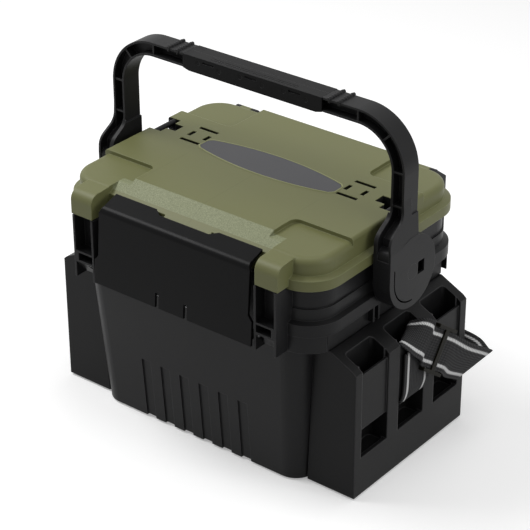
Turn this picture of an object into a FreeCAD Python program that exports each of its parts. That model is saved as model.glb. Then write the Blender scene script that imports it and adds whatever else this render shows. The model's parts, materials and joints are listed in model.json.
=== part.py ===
import FreeCAD, Part
import os

import Sketcher
from FreeCAD import Placement, Rotation, Vector

# A fishing seat box: a moulded tub with a rod rack on each side, a hinged lid that is the
# seat, a wide front latch, a carrying handle on two pivots and a webbing strap.
# The frame is in millimetres: X to the box's right, Y to its back, Z up. The origin is on
# the floor under the middle of the tub. Heights named "..._level" count from the tub's base.

doc = FreeCAD.newDocument("fishing_seat_box")
sheet = doc.addObject("Spreadsheet::Sheet", "Sizes")

SIZES = {
    # floor and lower tub
    "foot_height": 2.5, "foot_sink": 1.5, "foot_length": 42, "foot_width": 22,
    "foot_spacing_x": 230, "foot_spacing_y": 198, "floor_pad_x": 160, "floor_pad_y": 90,
    "tub_base_width": 307, "tub_base_depth": 246, "tub_top_width": 322, "tub_top_depth": 277,
    "tub_corner": 26, "wall": 3, "shoulder_level": 188,
    "groove_pitch": 29.4, "groove_width": 14, "groove_depth": 4.5, "groove_top_level": 83.5,
    # upper body, its bands and its corner bumpers
    "body_width": 363, "body_depth": 270, "body_corner": 36, "body_wall": 4.5, "rim_level": 266.3,
    "band_width": 380, "band_depth": 287, "band_corner": 44, "band_low_level": 209,
    "band_high_level": 224, "ledge_level": 226.5, "step_level": 241, "step_out": 2,
    "bumper_reach": 118, "rack_skirt_half": 112,
    "side_rib_y": 30, "side_rib_pitch": 10, "side_rib_width": 3,
    # pillars at the four corners
    "pillar_inner": 118.5, "pillar_outer": 149.5, "pillar_front": 163.6, "pillar_wall": 2.8,
    "pillar_rise": 3.7, "pillar_foot_level": 209.5, "pillar_leg_level": 189,
    "cell_low_level": 224, "cell_back": 147,
    # lid
    "lid_width": 380, "lid_depth": 288, "lid_corner": 44, "lid_low_level": 267.4,
    "flange_high_level": 280, "flange_slope_rise": 2.6, "flange_reach": 8, "crown_round": 4,
    "corner_crown_round": 8, "corner_level": 303, "lid_top_level": 308, "corner_step_x": 101.5, "corner_step_y": 68.5,
    "lid_skin": 3.6, "facet_top_y": 105.5, "facet_low_y": 131.5, "facet_low_level": 293.6,
    "facet_half": 119.5, "tongue_half": 34, "tongue_y": 138.6,
    "block_outer": 151, "block_front": 163, "block_low_level": 271,
    "block_high_level": 300.5, "block_round": 13,
    "plate_end": 99, "plate_middle_half": 24.5, "plate_end_half": 12, "plate_y": 15.5,
    "plate_thick": 2, "plate_sink": 1.6, "plate_rim_width": 1.3, "plate_rim_rise": 0.5,
    "slot_centre_x": 116.5, "slot_centre_y": 27.3, "slot_group_x": 29, "slot_group_y": 36.5,
    "slot_width": 5.6, "short_slot_length": 13, "short_slot_spacing": 23.5,
    "notch_inner_x": 148, "notch_step_x": 161.5, "notch_narrow": 16.5, "notch_wide": 38,
    "notch_depth": 17, "end_bar_radius": 3.6, "end_bar_x": 171.6, "end_bar_gap": 0.4,
    # lid hinge at the back
    "hinge_y": 140, "hinge_level": 293, "hinge_pin_radius": 2.5, "knuckle_radius": 6.5,
    "ear_width": 7, "hinge_side_gap": 0.5, "running_gap": 0.05, "relief": 1.2,
    # front latch
    "latch_half": 116, "latch_upper_half": 110.5, "lip_half": 107, "latch_low_level": 192,
    "latch_low_y": 166.6, "latch_bend_y": 159.8, "latch_bend_level": 288.8,
    "latch_bend_round": 9, "lip_end_y": 132.9,
    "lip_end_level": 297.6, "latch_thick": 3.4, "latch_shoulder_level": 221,
    "latch_shoulder_rise": 8, "lip_notch_half": 47, "lip_notch_floor_half": 36,
    "lip_notch_y": 139.6, "latch_slot_x": 21, "latch_slot_width": 5, "latch_slot_top_level": 211,
    "latch_axis_y": 158, "latch_axis_level": 205, "latch_knuckle_radius": 5,
    "latch_knuckle_length": 16, "latch_rod_radius": 2, "latch_recess_half": 118,
    # handle
    "pivot_level": 248, "pivot_radius": 9.6, "pivot_neck_radius": 7, "pivot_flange_radius": 11,
    "pivot_flange_thick": 3, "pivot_seat_radius": 15, "pivot_seat_gap": 1,
    "handle_gap": 5, "hoop_thick": 17.5, "handle_top_level": 435.5,
    "handle_corner": 64, "handle_front": 17.5, "handle_back": 9.5, "handle_web": 3,
    "handle_flange": 2.6, "rib_thick": 2.2, "arm_rib_low_rise": 83, "arm_rib_high_rise": 124,
    "boss_radius": 44.5, "boss_gap": 2.6, "boss_thick": 23.4, "boss_skin": 3,
    "boss_rim": 3.5, "hub_radius": 15, "flare_level": 303, "flare_top_level": 320,
    "flare_reach": 22, "flare_round": 17, "flare_blend_level": 286,
    "flare_pocket_low_level": 276, "flare_floor": 12, "bump_high_level": 289, "bump_round": 9,
    "tongue_slot_radius": 36, "tongue_slot_width": 2, "tongue_slot_top_level": 264,
    "key_hole_y": 10, "key_hole_width": 12.5, "key_hole_height": 16,
    "grip_half": 100, "grip_skin": 2, "grip_drop": 2.2, "grip_taper": 8.5,
    "grip_slot_length": 17, "grip_slot_height": 2.6, "grip_slot_spacing": 62,
    "grip_mark_radius": 3, "grip_groove_half": 62,
    "ridge_x": 109.3, "ridge_pitch": 13.5, "ridge_radius": 2.2, "ridge_over": 1.5,
    "ridge_bump": 0.5,
    # rod racks
    "rack_half": 220, "rack_depth": 220, "rack_wall": 3, "rack_gap": 0.3,
    "rack_top_level": 184, "rack_ridge_x": 184, "rack_brow_x": 215, "rack_brow_level": 168.6,
    "rack_edge_level": 164.5, "socket_pitch": 72.4, "socket_width": 51, "socket_inner_x": 194,
    "socket_floor_level": 46, "socket_corner": 5, "notch_width": 51, "notch_low_level": 158.5,
    "face_recess": 2.4, "window_low_level": 50, "window_high_level": 86,
    "rack_screw_radius": 2, "screw_head_radius": 4.5, "screw_head_height": 2.6,
    "screw_length": 9, "screw_y": 84, "screw_low_level": 30, "screw_high_level": 150,
    # webbing strap and its slider
    "strap_width": 48, "strap_thick": 1.8, "slider_length": 58, "slider_width": 32,
    "slider_bar": 6, "slider_thick": 2.4, "slider_gap": 0.8, "slider_out": 9.9,
}

for row, (name, value) in enumerate(SIZES.items(), start=1):
    sheet.set("A%d" % row, name)
    sheet.set("B%d" % row, str(value))
    sheet.setAlias("B%d" % row, name)
doc.recompute()


class Size:
    """A length with its value in this build and its formula on the sheet."""

    def __init__(self, value, formula):
        self.value = float(value)
        self.formula = formula

    def joined(self, other, sign, value):
        other_formula = other.formula if isinstance(other, Size) else repr(float(other))
        return Size(value, "(%s %s %s)" % (self.formula, sign, other_formula))

    def __add__(self, other):
        return self.joined(other, "+", self.value + number(other))

    def __sub__(self, other):
        return self.joined(other, "-", self.value - number(other))

    def __mul__(self, other):
        return self.joined(other, "*", self.value * number(other))

    def __truediv__(self, other):
        return self.joined(other, "/", self.value / number(other))

    def __neg__(self):
        return Size(-self.value, "(0 - %s)" % self.formula)


def number(size):
    return size.value if isinstance(size, Size) else float(size)


def sized(name):
    return Size(sheet.get(name), "Sizes." + name)


def bind(thing, place, size):
    """Ties one property to the sheet, and gives it its value at once."""
    if isinstance(size, Size):
        thing.setExpression(place, size.formula)


def move(thing, x=0, y=0, z=0):
    """Puts a thing's base point at sheet-bound coordinates."""
    spot = thing.Placement
    spot.Base = Vector(number(x), number(y), number(z))
    thing.Placement = spot
    bind(thing, "Placement.Base.x", x)
    bind(thing, "Placement.Base.y", y)
    bind(thing, "Placement.Base.z", z)
    return thing


def block(label, x, y, z):
    """A box between two values on each axis."""
    box = doc.addObject("Part::Box", label)
    for place, (low, high) in (("Length", x), ("Width", y), ("Height", z)):
        span = high - low if isinstance(high, Size) else -(low - high)
        bind(box, place, span)
        setattr(box, place, number(span))
    return move(box, x[0], y[0], z[0])


TURNS = {"x": Rotation(Vector(0, 1, 0), 90), "y": Rotation(Vector(1, 0, 0), -90), "z": Rotation()}


def rod(label, axis, span, radius, x=0, y=0, z=0):
    """A round bar along an axis, from span's first value to its second."""
    bar = doc.addObject("Part::Cylinder", label)
    bar.Radius = number(radius)
    bind(bar, "Radius", radius)
    length = span[1] - span[0]
    bar.Height = number(length)
    bind(bar, "Height", length)
    bar.Placement = Placement(Vector(), TURNS[axis])
    start = {"x": x, "y": y, "z": z}
    start[axis] = span[0]
    return move(bar, **start)


PLANES = {"XY": Rotation(), "XZ": Rotation(Vector(1, 0, 0), 90), "YZ": Rotation(Vector(1, 1, 1), 120)}


def pin_point(sketch, geometry, end, across, up):
    """Ties one end of a line to its sheet-bound place."""
    for kind, axis, size in (("DistanceX", -2, across), ("DistanceY", -1, up)):
        if number(size) == 0:
            sketch.addConstraint(Sketcher.Constraint("PointOnObject", geometry, end, axis))
        else:
            index = sketch.addConstraint(
                Sketcher.Constraint(kind, -1, 1, geometry, end, number(size)))
            bind(sketch, "Constraints[%d]" % index, size)


def put_on_plane(sketch, plane, offset):
    sketch.Placement = Placement(Vector(), PLANES[plane])
    spots = {"XY": {"z": offset}, "XZ": {"y": offset}, "YZ": {"x": offset}}
    move(sketch, **spots[plane])


def polygon(label, plane, offset, points):
    """A closed outline of straight edges, every corner bound to the sheet."""
    sketch = doc.addObject("Sketcher::SketchObject", label)
    put_on_plane(sketch, plane, offset)
    corners = [Vector(number(a), number(b), 0) for a, b in points]
    for index, corner in enumerate(corners):
        following = corners[(index + 1) % len(corners)]
        sketch.addGeometry(Part.LineSegment(corner, following))
    for index in range(len(corners)):
        after = (index + 1) % len(corners)
        sketch.addConstraint(Sketcher.Constraint("Coincident", index, 2, after, 1))
    for index, (a, b) in enumerate(points):
        pin_point(sketch, index, 1, a, b)
    return sketch


HALF_TURN = 3.14159265358979


def rounded(label, plane, offset, half_across, low, high, corner):
    """A rectangle with rounded corners, centred across and from low to high."""
    sketch = doc.addObject("Sketcher::SketchObject", label)
    put_on_plane(sketch, plane, offset)
    a, b, c, r = number(half_across), number(low), number(high), number(corner)
    turns = [(a - r, b + r, 270), (a - r, c - r, 0), (-a + r, c - r, 90), (-a + r, b + r, 180)]
    lines = [((-a + r, b), (a - r, b)), ((a, b + r), (a, c - r)),
             ((a - r, c), (-a + r, c)), ((-a, c - r), (-a, b + r))]
    for start, end in lines:
        sketch.addGeometry(Part.LineSegment(Vector(*start, 0), Vector(*end, 0)))
    for across, up, angle in turns:
        circle = Part.Circle(Vector(across, up, 0), Vector(0, 0, 1), r)
        first = angle * HALF_TURN / 180
        sketch.addGeometry(Part.ArcOfCircle(circle, first, first + HALF_TURN / 2))
    for index in range(4):
        sketch.addConstraint(Sketcher.Constraint("Tangent", index, 2, 4 + index, 1))
        sketch.addConstraint(Sketcher.Constraint("Tangent", 4 + index, 2, (index + 1) % 4, 1))
        sketch.addConstraint(Sketcher.Constraint("Horizontal" if index % 2 == 0 else "Vertical", index))
    for index in range(1, 4):
        sketch.addConstraint(Sketcher.Constraint("Equal", 4, 4 + index))
    bind(sketch, "Constraints[%d]" % sketch.addConstraint(
        Sketcher.Constraint("Radius", 4, r)), corner)
    sides = ((0, "DistanceY", low), (2, "DistanceY", high),
             (1, "DistanceX", half_across), (3, "DistanceX", -half_across))
    for line, kind, size in sides:
        index = sketch.addConstraint(Sketcher.Constraint(kind, -1, 1, line, 1, number(size)))
        bind(sketch, "Constraints[%d]" % index, size)
    return sketch


def extruded(label, sketch, length):
    solid = doc.addObject("Part::Extrusion", label)
    solid.Base = sketch
    solid.DirMode = "Normal"
    solid.Solid = True
    solid.LengthFwd = number(length)
    bind(solid, "LengthFwd", length)
    return solid


def prism(label, plane, points, span):
    """A straight-edged outline drawn out between two offsets from its plane."""
    start = span[1] if plane == "XZ" else span[0]
    return extruded(label, polygon(label + "_outline", plane, start, points), span[1] - span[0])


def slab(label, half_x, half_y, corner, z):
    """An upright block with rounded corners."""
    outline = rounded(label + "_outline", "XY", z[0], half_x, -half_y, half_y, corner)
    return extruded(label, outline, z[1] - z[0])


def tapered(label, low, high):
    """A block with rounded corners that widens from one outline to another."""
    ends = []
    for index, (half_x, half_y, corner, z) in enumerate((low, high)):
        ends.append(rounded("%s_outline_%d" % (label, index), "XY", z, half_x, -half_y, half_y, corner))
    solid = doc.addObject("Part::Loft", label)
    solid.Sections = ends
    solid.Solid = True
    solid.Ruled = True
    return solid


def union(label, pieces):
    if len(pieces) == 1:
        return pieces[0]
    whole = doc.addObject("Part::MultiFuse", label)
    whole.Shapes = pieces
    whole.Refine = True
    return whole


def cut(label, base, tools):
    result = doc.addObject("Part::Cut", label)
    result.Base = base
    result.Tool = union(label + "_tools", tools)
    result.Refine = True
    return result


def common(label, first, second):
    result = doc.addObject("Part::Common", label)
    result.Base = first
    result.Tool = second
    return result


def mirrored(label, source):
    """The same shape on the other side of the box's middle plane."""
    copy = doc.addObject("Part::Mirroring", label)
    copy.Source = source
    copy.Normal = Vector(1, 0, 0)
    copy.Base = Vector(0, 0, 0)
    return copy


def both_sides(label, source):
    return [source, mirrored(label + "_mirrored", source)]


def softened(label, base, radius, wanted):
    """Rounds the edges that the given test picks out."""
    doc.recompute()
    result = doc.addObject("Part::Fillet", label)
    result.Base = base
    r = number(radius)
    result.Edges = [(index + 1, r, r) for index, edge in enumerate(base.Shape.Edges) if wanted(edge)]
    return result


nodes = {}


def keep(name, thing):
    """Names a finished sub-part."""
    thing.Label = name
    nodes[name] = thing
    return thing


base = sized("foot_height")


def level(name):
    """A height above the tub's base, as a height above the floor."""
    return base + sized(name)


def is_upright(edge):
    box = edge.BoundBox
    return box.XLength < 0.01 and box.YLength < 0.01


# Heights and half sizes that several pieces share
wall = sized("wall")
shoulder = level("shoulder_level")
rim = level("rim_level")
tub_base_x, tub_base_y = sized("tub_base_width") / 2, sized("tub_base_depth") / 2
tub_top_x, tub_top_y = sized("tub_top_width") / 2, sized("tub_top_depth") / 2
body_x, body_y = sized("body_width") / 2, sized("body_depth") / 2
band_x, band_y = sized("band_width") / 2, sized("band_depth") / 2
lid_x, lid_y = sized("lid_width") / 2, sized("lid_depth") / 2
pillar_in, pillar_out = sized("pillar_inner"), sized("pillar_outer")
pillar_face = -sized("pillar_front")
hinge_y, hinge_z = sized("hinge_y"), level("hinge_level")
latch_axis_y, latch_axis_z = -sized("latch_axis_y"), level("latch_axis_level")
pivot_z = level("pivot_level")
hoop_in = lid_x + sized("handle_gap")
hoop_out = hoop_in + sized("hoop_thick")
boss_in = lid_x + sized("boss_gap")
boss_out = boss_in + sized("boss_thick")
seat_out = boss_in - sized("pivot_seat_gap")
gap = sized("running_gap")


# Tub: the lower shell, the wider upper body, bands, corner pillars and hinge ears
def lower_tub():
    corner = sized("tub_corner")
    shell = tapered("tub_shell", (tub_base_x, tub_base_y, corner, base),
                    (tub_top_x, tub_top_y, corner, shoulder))
    pad_x, pad_y = sized("floor_pad_x") / 2, sized("floor_pad_y") / 2
    pad = block("tub_floor_pad", (-pad_x, pad_x), (-pad_y, pad_y), (base - base, base + wall))
    return union("tub_lower", [shell, pad])


def lower_hollow():
    corner = sized("tub_corner") - wall
    return tapered("tub_hollow", (tub_base_x - wall, tub_base_y - wall, corner, base + wall),
                   (tub_top_x - wall, tub_top_y - wall, corner, shoulder - wall))


def front_grooves():
    """Upright grooves pressed into the lower front wall."""
    pitch, half = sized("groove_pitch"), sized("groove_width") / 2
    lean = (tub_top_y - tub_base_y) / (sized("shoulder_level"))
    depth, top = sized("groove_depth"), level("groove_top_level")
    rise = sized("groove_top_level")
    cuts = []
    for index in range(-3, 3):
        middle = pitch * (index + 0.5)
        profile = [(-tub_base_y - 3, base - 3), (-tub_base_y + depth, base - 3),
                   (-tub_base_y + depth, base), (-tub_base_y - lean * rise + depth, top),
                   (-tub_base_y - lean * rise - 3, top)]
        cuts.append(prism("groove_%d" % (index + 4), "YZ", profile, (middle - half, middle + half)))
    return cuts


def groove_backs():
    """The floors of the grooves, which stand proud on the inside."""
    pitch = sized("groove_pitch")
    lean = (tub_top_y - tub_base_y) / (sized("shoulder_level"))
    depth, rise = sized("groove_depth"), sized("groove_top_level")
    inner = depth + wall
    profile = [(-tub_base_y + wall / 2, base + wall / 2), (-tub_base_y + inner, base + wall / 2),
               (-tub_base_y - lean * rise + inner, base + rise),
               (-tub_base_y - lean * rise + inner, base + rise + wall),
               (-tub_base_y - lean * rise + wall / 2, base + rise + wall)]
    return [prism("groove_backing", "YZ", profile, (-pitch * 3, pitch * 3))]


def upper_body():
    """The upper walls with their bands, stepped outwards above the shoulder."""
    corner, band_corner = sized("body_corner"), sized("band_corner")
    low, high = level("band_low_level"), level("band_high_level")
    ledge, step = level("ledge_level"), level("step_level")
    out = sized("step_out")
    walls = slab("body_walls", body_x, body_y, corner, (shoulder - wall, rim))
    band = slab("body_band", band_x, band_y, band_corner, (low, high))
    slope = tapered("body_band_slope", (band_x, band_y, band_corner, high),
                    (body_x + out, body_y + out, corner + out, ledge))
    middle = slab("body_middle", body_x + out, body_y + out, corner + out, (ledge, step))
    return [walls, band, slope, middle]


def corner_bumpers():
    """The lower half of the band, which wraps the four corners alone."""
    reach, low = sized("bumper_reach"), level("shoulder_level")
    high = level("band_low_level")
    ring = slab("bumper_ring", band_x - 0.6, band_y - 0.6, sized("band_corner"), (low, high))
    middle = block("bumper_gap", (-band_x - 1, band_x + 1), (-reach, reach), (low - 1, high + 1))
    return [cut("bumpers", ring, [middle])]


def rack_skirt():
    """Side walls over the racks, under the band."""
    reach = sized("rack_skirt_half")
    return [block("rack_skirt", (-body_x, body_x), (-reach, reach),
                  (level("rack_top_level") + sized("rack_gap"), level("band_low_level")))]


def side_ribs():
    """A pair of short ribs under the band on each side, ahead of the handle."""
    ribs = []
    for index, middle in enumerate((-sized("side_rib_y") - sized("side_rib_pitch") / 2,
                                    -sized("side_rib_y") + sized("side_rib_pitch") / 2)):
        half = sized("side_rib_width") / 2
        ribs.append(block("side_rib_%d" % index, (-band_x + 1, band_x - 1), (middle - half, middle + half),
                          (shoulder + 1, level("band_low_level") + 1)))
    return ribs


def upper_hollow():
    """The hollow above the shoulder, and the passage down through it."""
    corner, thick = sized("body_corner"), sized("body_wall")
    room = slab("body_hollow", body_x - thick, body_y - thick, corner - thick, (shoulder, rim + 1))
    passage = slab("body_passage", tub_top_x - wall, body_y - thick, sized("tub_corner") - wall,
                   (shoulder - wall - 1, shoulder + 1))
    return [room, passage]


def front_pillar():
    """The right front pillar: an open channel with a cell and two legs below."""
    back = -body_y + 2
    foot, leg = level("pillar_foot_level"), level("pillar_leg_level")
    top, cell = rim + sized("pillar_rise"), level("cell_low_level")
    thin, cell_back = sized("pillar_wall"), -sized("cell_back")
    column = block("pillar_column", (pillar_in, pillar_out), (pillar_face, back), (foot, top))
    outer_leg = block("pillar_outer_leg", (pillar_out - thin, pillar_out),
                      (pillar_face, back), (leg, foot))
    inner_leg = block("pillar_inner_leg", (pillar_in, pillar_in + thin), (pillar_face, back), (leg, foot))
    gusset = prism("pillar_gusset", "YZ", [(cell_back, leg), (pillar_face, foot), (back, foot), (back, leg)],
                   (pillar_in, pillar_out))
    channel = block("pillar_channel", (pillar_in + thin, pillar_out - thin),
                    (pillar_face - 1, cell_back), (cell, top + 1))
    lower_cell = block("pillar_cell", (pillar_in + thin, pillar_out - thin - 4),
                       (pillar_face - 1, cell_back), (foot + 2.2, cell - 2.2))
    recess = prism("pillar_recess", "XZ",
                   [(pillar_in + thin, leg + 4), (pillar_in + thin, foot - 2), (pillar_in + 13, foot - 2)],
                   (pillar_face - 1, cell_back))
    lid_room = block("pillar_lid_room", (pillar_in - 1, pillar_out + 1),
                     (-lid_y - sized("relief"), back + 1), (rim, top + 1))
    solid = union("pillar_solid", [column, outer_leg, inner_leg, gusset])
    return cut("pillar_front_right", solid, [channel, lower_cell, recess, lid_room])


def rear_pillar():
    """The right back pillar with the two ears that hold a lid pin."""
    back = sized("pillar_front")
    front = body_y - 2
    foot = level("band_low_level")
    ear, round_over = sized("ear_width"), sized("knuckle_radius")
    side = sized("relief")
    clear = lid_y + side
    shelf = hinge_z - round_over - sized("relief") * 3
    thin = sized("pillar_wall")
    column = block("rear_column", (pillar_in, pillar_out), (front, back), (foot, shelf))
    lid_room = block("rear_lid_room", (pillar_in - 1, pillar_out + 1),
                     (front - 1, clear), (rim, hinge_z + 30))
    channel = block("rear_channel", (pillar_in + thin, pillar_out - thin), (clear + thin, back + 1),
                    (foot + 14, shelf - thin))
    pieces = [cut("rear_column_cut", column, [lid_room, channel])]
    for index, low in enumerate((pillar_in, pillar_out - ear)):
        span = (low, low + ear)
        eye = rod("rear_ear_%d" % index, "x", span, round_over, y=hinge_y, z=hinge_z)
        arm = prism("rear_arm_%d" % index, "YZ",
                    [(hinge_y, hinge_z - round_over), (clear, shelf - 2), (back, shelf - 2),
                     (back, shelf), (hinge_y + 3, hinge_z + round_over - 1.2)], span)
        pieces += [eye, arm]
    return union("pillar_rear_right", pieces)


def latch_recess():
    """Room behind the latch, where the band and step would meet its lower edge."""
    half = sized("latch_recess_half")
    return block("latch_recess", (-half, half), (-band_y - 20, -body_y), (shoulder, rim + 1))


def handle_seat():
    """A round seat on the right wall for the handle's pivot."""
    return rod("handle_seat_right", "x", (body_x - 2, seat_out), sized("pivot_seat_radius"), z=pivot_z)


def pivot_bores():
    inner = body_x - sized("body_wall") - 1
    bore = rod("pivot_bore", "x", (inner, seat_out + 1),
               sized("pivot_neck_radius") + gap, z=pivot_z)
    return both_sides("pivot_bore", bore)


def screw_places():
    """Where the rack screws go: across the box's depth, and up."""
    places = []
    for y in (-sized("screw_y"), sized("screw_y")):
        for z in (level("screw_low_level"), level("screw_high_level")):
            places.append((y, z))
    return places


def screw_seat_x(z):
    """The inner face of the leaning tub wall at one height, less a counterbore."""
    lean = (tub_top_x - tub_base_x) / sized("shoulder_level")
    return tub_base_x + lean * (z - base) - wall * 0.65


def screw_holes():
    holes = []
    for index, (y, z) in enumerate(screw_places()):
        seat = screw_seat_x(z)
        hole = rod("rack_hole_%d" % index, "x", (seat - 6, seat + 8), sized("rack_screw_radius"), y=y, z=z)
        sink = rod("rack_sink_%d" % index, "x", (seat - 8, seat), sized("screw_head_radius") + 0.3, y=y, z=z)
        holes += both_sides("rack_hole_%d" % index, hole) + both_sides("rack_sink_%d" % index, sink)
    return holes


def latch_rod_holes():
    hole = rod("latch_rod_hole", "x", (pillar_in - 1, pillar_in + sized("pillar_wall") + 1),
               sized("latch_rod_radius"), y=latch_axis_y, z=latch_axis_z)
    return both_sides("latch_rod_hole", hole)


def latch_rod_posts():
    """The inner walls of the front pillars run down to carry the latch rod."""
    post = block("latch_post", (pillar_in, pillar_in + sized("pillar_wall")),
                 (pillar_face, -body_y + 2), (level("pillar_leg_level"), level("cell_low_level")))
    return both_sides("latch_post", post)


def lid_pin_holes():
    hole = rod("lid_pin_hole", "x", (pillar_in - 1, pillar_out + 1), sized("hinge_pin_radius"),
               y=hinge_y, z=hinge_z)
    return both_sides("lid_pin_hole", hole)


def foot_box(x_side, y_side):
    half_l, half_w = sized("foot_length") / 2, sized("foot_width") / 2
    x, y = sized("foot_spacing_x") / 2 * x_side, sized("foot_spacing_y") / 2 * y_side
    return (x - half_l, x + half_l), (y - half_w, y + half_w)


def foot_sinks():
    sinks = []
    for index, (x_side, y_side) in enumerate(((-1, -1), (1, -1), (-1, 1), (1, 1))):
        x, y = foot_box(x_side, y_side)
        sinks.append(block("foot_sink_%d" % index, x, y, (base - 1, base + sized("foot_sink"))))
    return sinks


outer = union("tub_outer", [lower_tub()] + rack_skirt() + side_ribs() + corner_bumpers() + upper_body())
recessed = cut("tub_recessed", outer, [latch_recess()] + front_grooves())
hollowed = cut("tub_hollowed", recessed, [lower_hollow()] + upper_hollow())
furnished = union("tub_furnished", [hollowed] + groove_backs() + latch_rod_posts()
                  + both_sides("pillar_front", front_pillar())
                  + both_sides("pillar_rear", rear_pillar())
                  + both_sides("handle_seat", handle_seat()))
keep("tub", cut("tub", furnished, pivot_bores() + screw_holes() + latch_rod_holes()
                + lid_pin_holes() + foot_sinks()))


# Rubber feet, each pressed into a shallow sink in the floor
def rubber_feet():
    names = ("front_left", "front_right", "rear_left", "rear_right")
    for index, (x_side, y_side) in enumerate(((-1, -1), (1, -1), (-1, 1), (1, 1))):
        x, y = foot_box(x_side, y_side)
        pad = block("foot_pad_%d" % index, x, y, (base - base, base + sized("foot_sink")))
        keep("foot_" + names[index], softened("foot_" + names[index], pad, 3, is_upright))


rubber_feet()


# Rod racks: a hollow side moulding with three sockets, each with a notch and a window
def rack_right():
    thick = sized("rack_wall")
    lean = (tub_top_x - tub_base_x) / sized("shoulder_level")
    half = sized("rack_depth") / 2
    top = level("rack_top_level")
    inner_low = tub_base_x + sized("rack_gap")
    inner_high = inner_low + lean * sized("rack_top_level")
    ridge, brow = sized("rack_ridge_x"), sized("rack_brow_x")
    brow_z, edge_z = level("rack_brow_level"), level("rack_edge_level")
    out = sized("rack_half")
    profile = [(inner_low, base), (out, base), (out, edge_z), (brow, brow_z), (ridge, top),
               (inner_high, top)]
    body = prism("rack_body", "XZ", profile, (-half, half))
    socket_in = sized("socket_inner_x")
    void = [(inner_low + thick, base - 1), (socket_in - thick, base - 1),
            (socket_in - thick, top - thick * 1.6), (inner_high + thick, top - thick * 1.6)]
    hollow = prism("rack_void", "XZ", void, (thick - half, half - thick))
    cuts = [hollow, block("rack_under", (socket_in - thick - 1, out - thick), (thick - half, half - thick),
                          (base - 1, level("socket_floor_level") - thick))]
    face = out - sized("face_recess")
    for index in (-1, 0, 1):
        middle = sized("socket_pitch") * index
        wide, notch = sized("socket_width") / 2, sized("notch_width") / 2
        tag = str(index + 2)
        shaft = rounded("shaft_%s_outline" % tag, "XY", level("socket_floor_level"),
                        (face - thick - socket_in) / 2, middle - wide, middle + wide,
                        sized("socket_corner"))
        move(shaft, x=(face - thick + socket_in) / 2, z=level("socket_floor_level"))
        cuts.append(extruded("shaft_" + tag, shaft, sized("rack_top_level")))
        cuts.append(block("face_" + tag, (face, out + 1), (middle - notch, middle + notch),
                          (level("window_low_level"), top)))
        cuts.append(block("window_" + tag, (socket_in + 4, out + 1), (middle - notch, middle + notch),
                          (level("window_low_level"), level("window_high_level"))))
        cuts.append(block("mouth_" + tag, (face - thick - 1, out + 1), (middle - wide, middle + wide),
                          (level("notch_low_level"), top)))
    for index, (y, z) in enumerate(screw_places()):
        seat = screw_seat_x(z)
        cuts.append(rod("rack_bore_%d" % index, "x", (seat, seat + sized("screw_length") + 1),
                        sized("rack_screw_radius"), y=y, z=z))
    return cut("rack_right_solid", body, cuts)


right_rack = rack_right()
keep("rod_rack_right", right_rack)
keep("rod_rack_left", mirrored("rod_rack_left", right_rack))


# Screws that hold each rack from inside the tub
def rack_screws():
    screws = []
    for index, (y, z) in enumerate(screw_places()):
        seat = screw_seat_x(z)
        shank = rod("screw_shank_%d" % index, "x", (seat - 0.5, seat + sized("screw_length")),
                    sized("rack_screw_radius"), y=y, z=z)
        head = rod("screw_head_%d" % index, "x", (seat - sized("screw_head_height"), seat),
                   sized("screw_head_radius"), y=y, z=z)
        socket = rod("screw_socket_%d" % index, "x",
                     (seat - sized("screw_head_height") - 1, seat - 1), 1.6, y=y, z=z)
        screws.append(cut("screw_%d" % index, union("screw_solid_%d" % index, [shank, head]), [socket]))
    group = doc.addObject("Part::Compound", "rack_screws_right")
    group.Links = screws
    keep("rack_screws_right", group)
    keep("rack_screws_left", mirrored("rack_screws_left", group))


rack_screws()


# Lid: a flanged shell with raised middle, sunken corners, a front facet and corner blocks
def lid_outer():
    corner, reach = sized("lid_corner"), sized("flange_reach")
    low, high = level("lid_low_level"), level("flange_high_level")
    wall_foot = high + sized("flange_slope_rise")
    top, corner_top = level("lid_top_level"), level("corner_level")
    flange = slab("lid_flange", lid_x, lid_y, corner, (low, high))
    slope = tapered("lid_flange_slope", (lid_x, lid_y, corner, high),
                    (lid_x - reach, lid_y - reach, corner - reach, wall_foot))
    sunk = []
    for index, (x_side, y_side) in enumerate(((-1, -1), (1, -1), (-1, 1), (1, 1))):
        inner_x, inner_y = sized("corner_step_x") * x_side, sized("corner_step_y") * y_side
        edge_x, edge_y = (lid_x + 5) * x_side, (lid_y + 5) * y_side
        x = (edge_x, inner_x) if x_side < 0 else (inner_x, edge_x)
        y = (edge_y, inner_y) if y_side < 0 else (inner_y, edge_y)
        pocket = block("lid_sunk_%d" % index, x, y, (high - 1, top + 1))
        sunk.append(softened("lid_sunk_round_%d" % index, pocket, 10, is_upright))
    plates = []
    for name, height, crown in (("lid_low", corner_top, "corner_crown_round"),
                                ("lid_high", top, "crown_round")):
        plate = slab(name, lid_x - reach, lid_y - reach, corner - reach, (high, height))
        edge_level = number(height) - 0.01
        plates.append(softened(name + "_round", plate, sized(crown),
                               lambda edge: edge.BoundBox.ZMin > edge_level))
    return union("lid_outer", [flange, slope, plates[0], cut("lid_cross", plates[1], sunk)])


def lid_facet():
    """The sloped front facet, with the lid cut straight down in front of it."""
    half = sized("facet_half")
    top_y, low_y = -sized("facet_top_y"), -sized("facet_low_y")
    top, low = level("lid_top_level"), level("facet_low_level")
    bottom = level("lid_low_level")
    rise = (top - low) / (top_y - low_y)
    profile = [(top_y, top), (top_y, top + 20), (-lid_y - 20, top + 20), (-lid_y - 20, bottom - 1),
               (low_y, bottom - 1), (low_y, low)]
    whole = prism("facet_cut", "YZ", profile, (-half, half))
    tongue_y, tongue = -sized("tongue_y"), sized("tongue_half")
    tongue_profile = [(low_y + 3, low + rise * 3), (low_y + 3, low - 8), (tongue_y, low - 8),
                      (tongue_y, low - rise * (low_y - tongue_y))]
    return whole, prism("facet_tongue", "YZ", tongue_profile, (-tongue, tongue))


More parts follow.
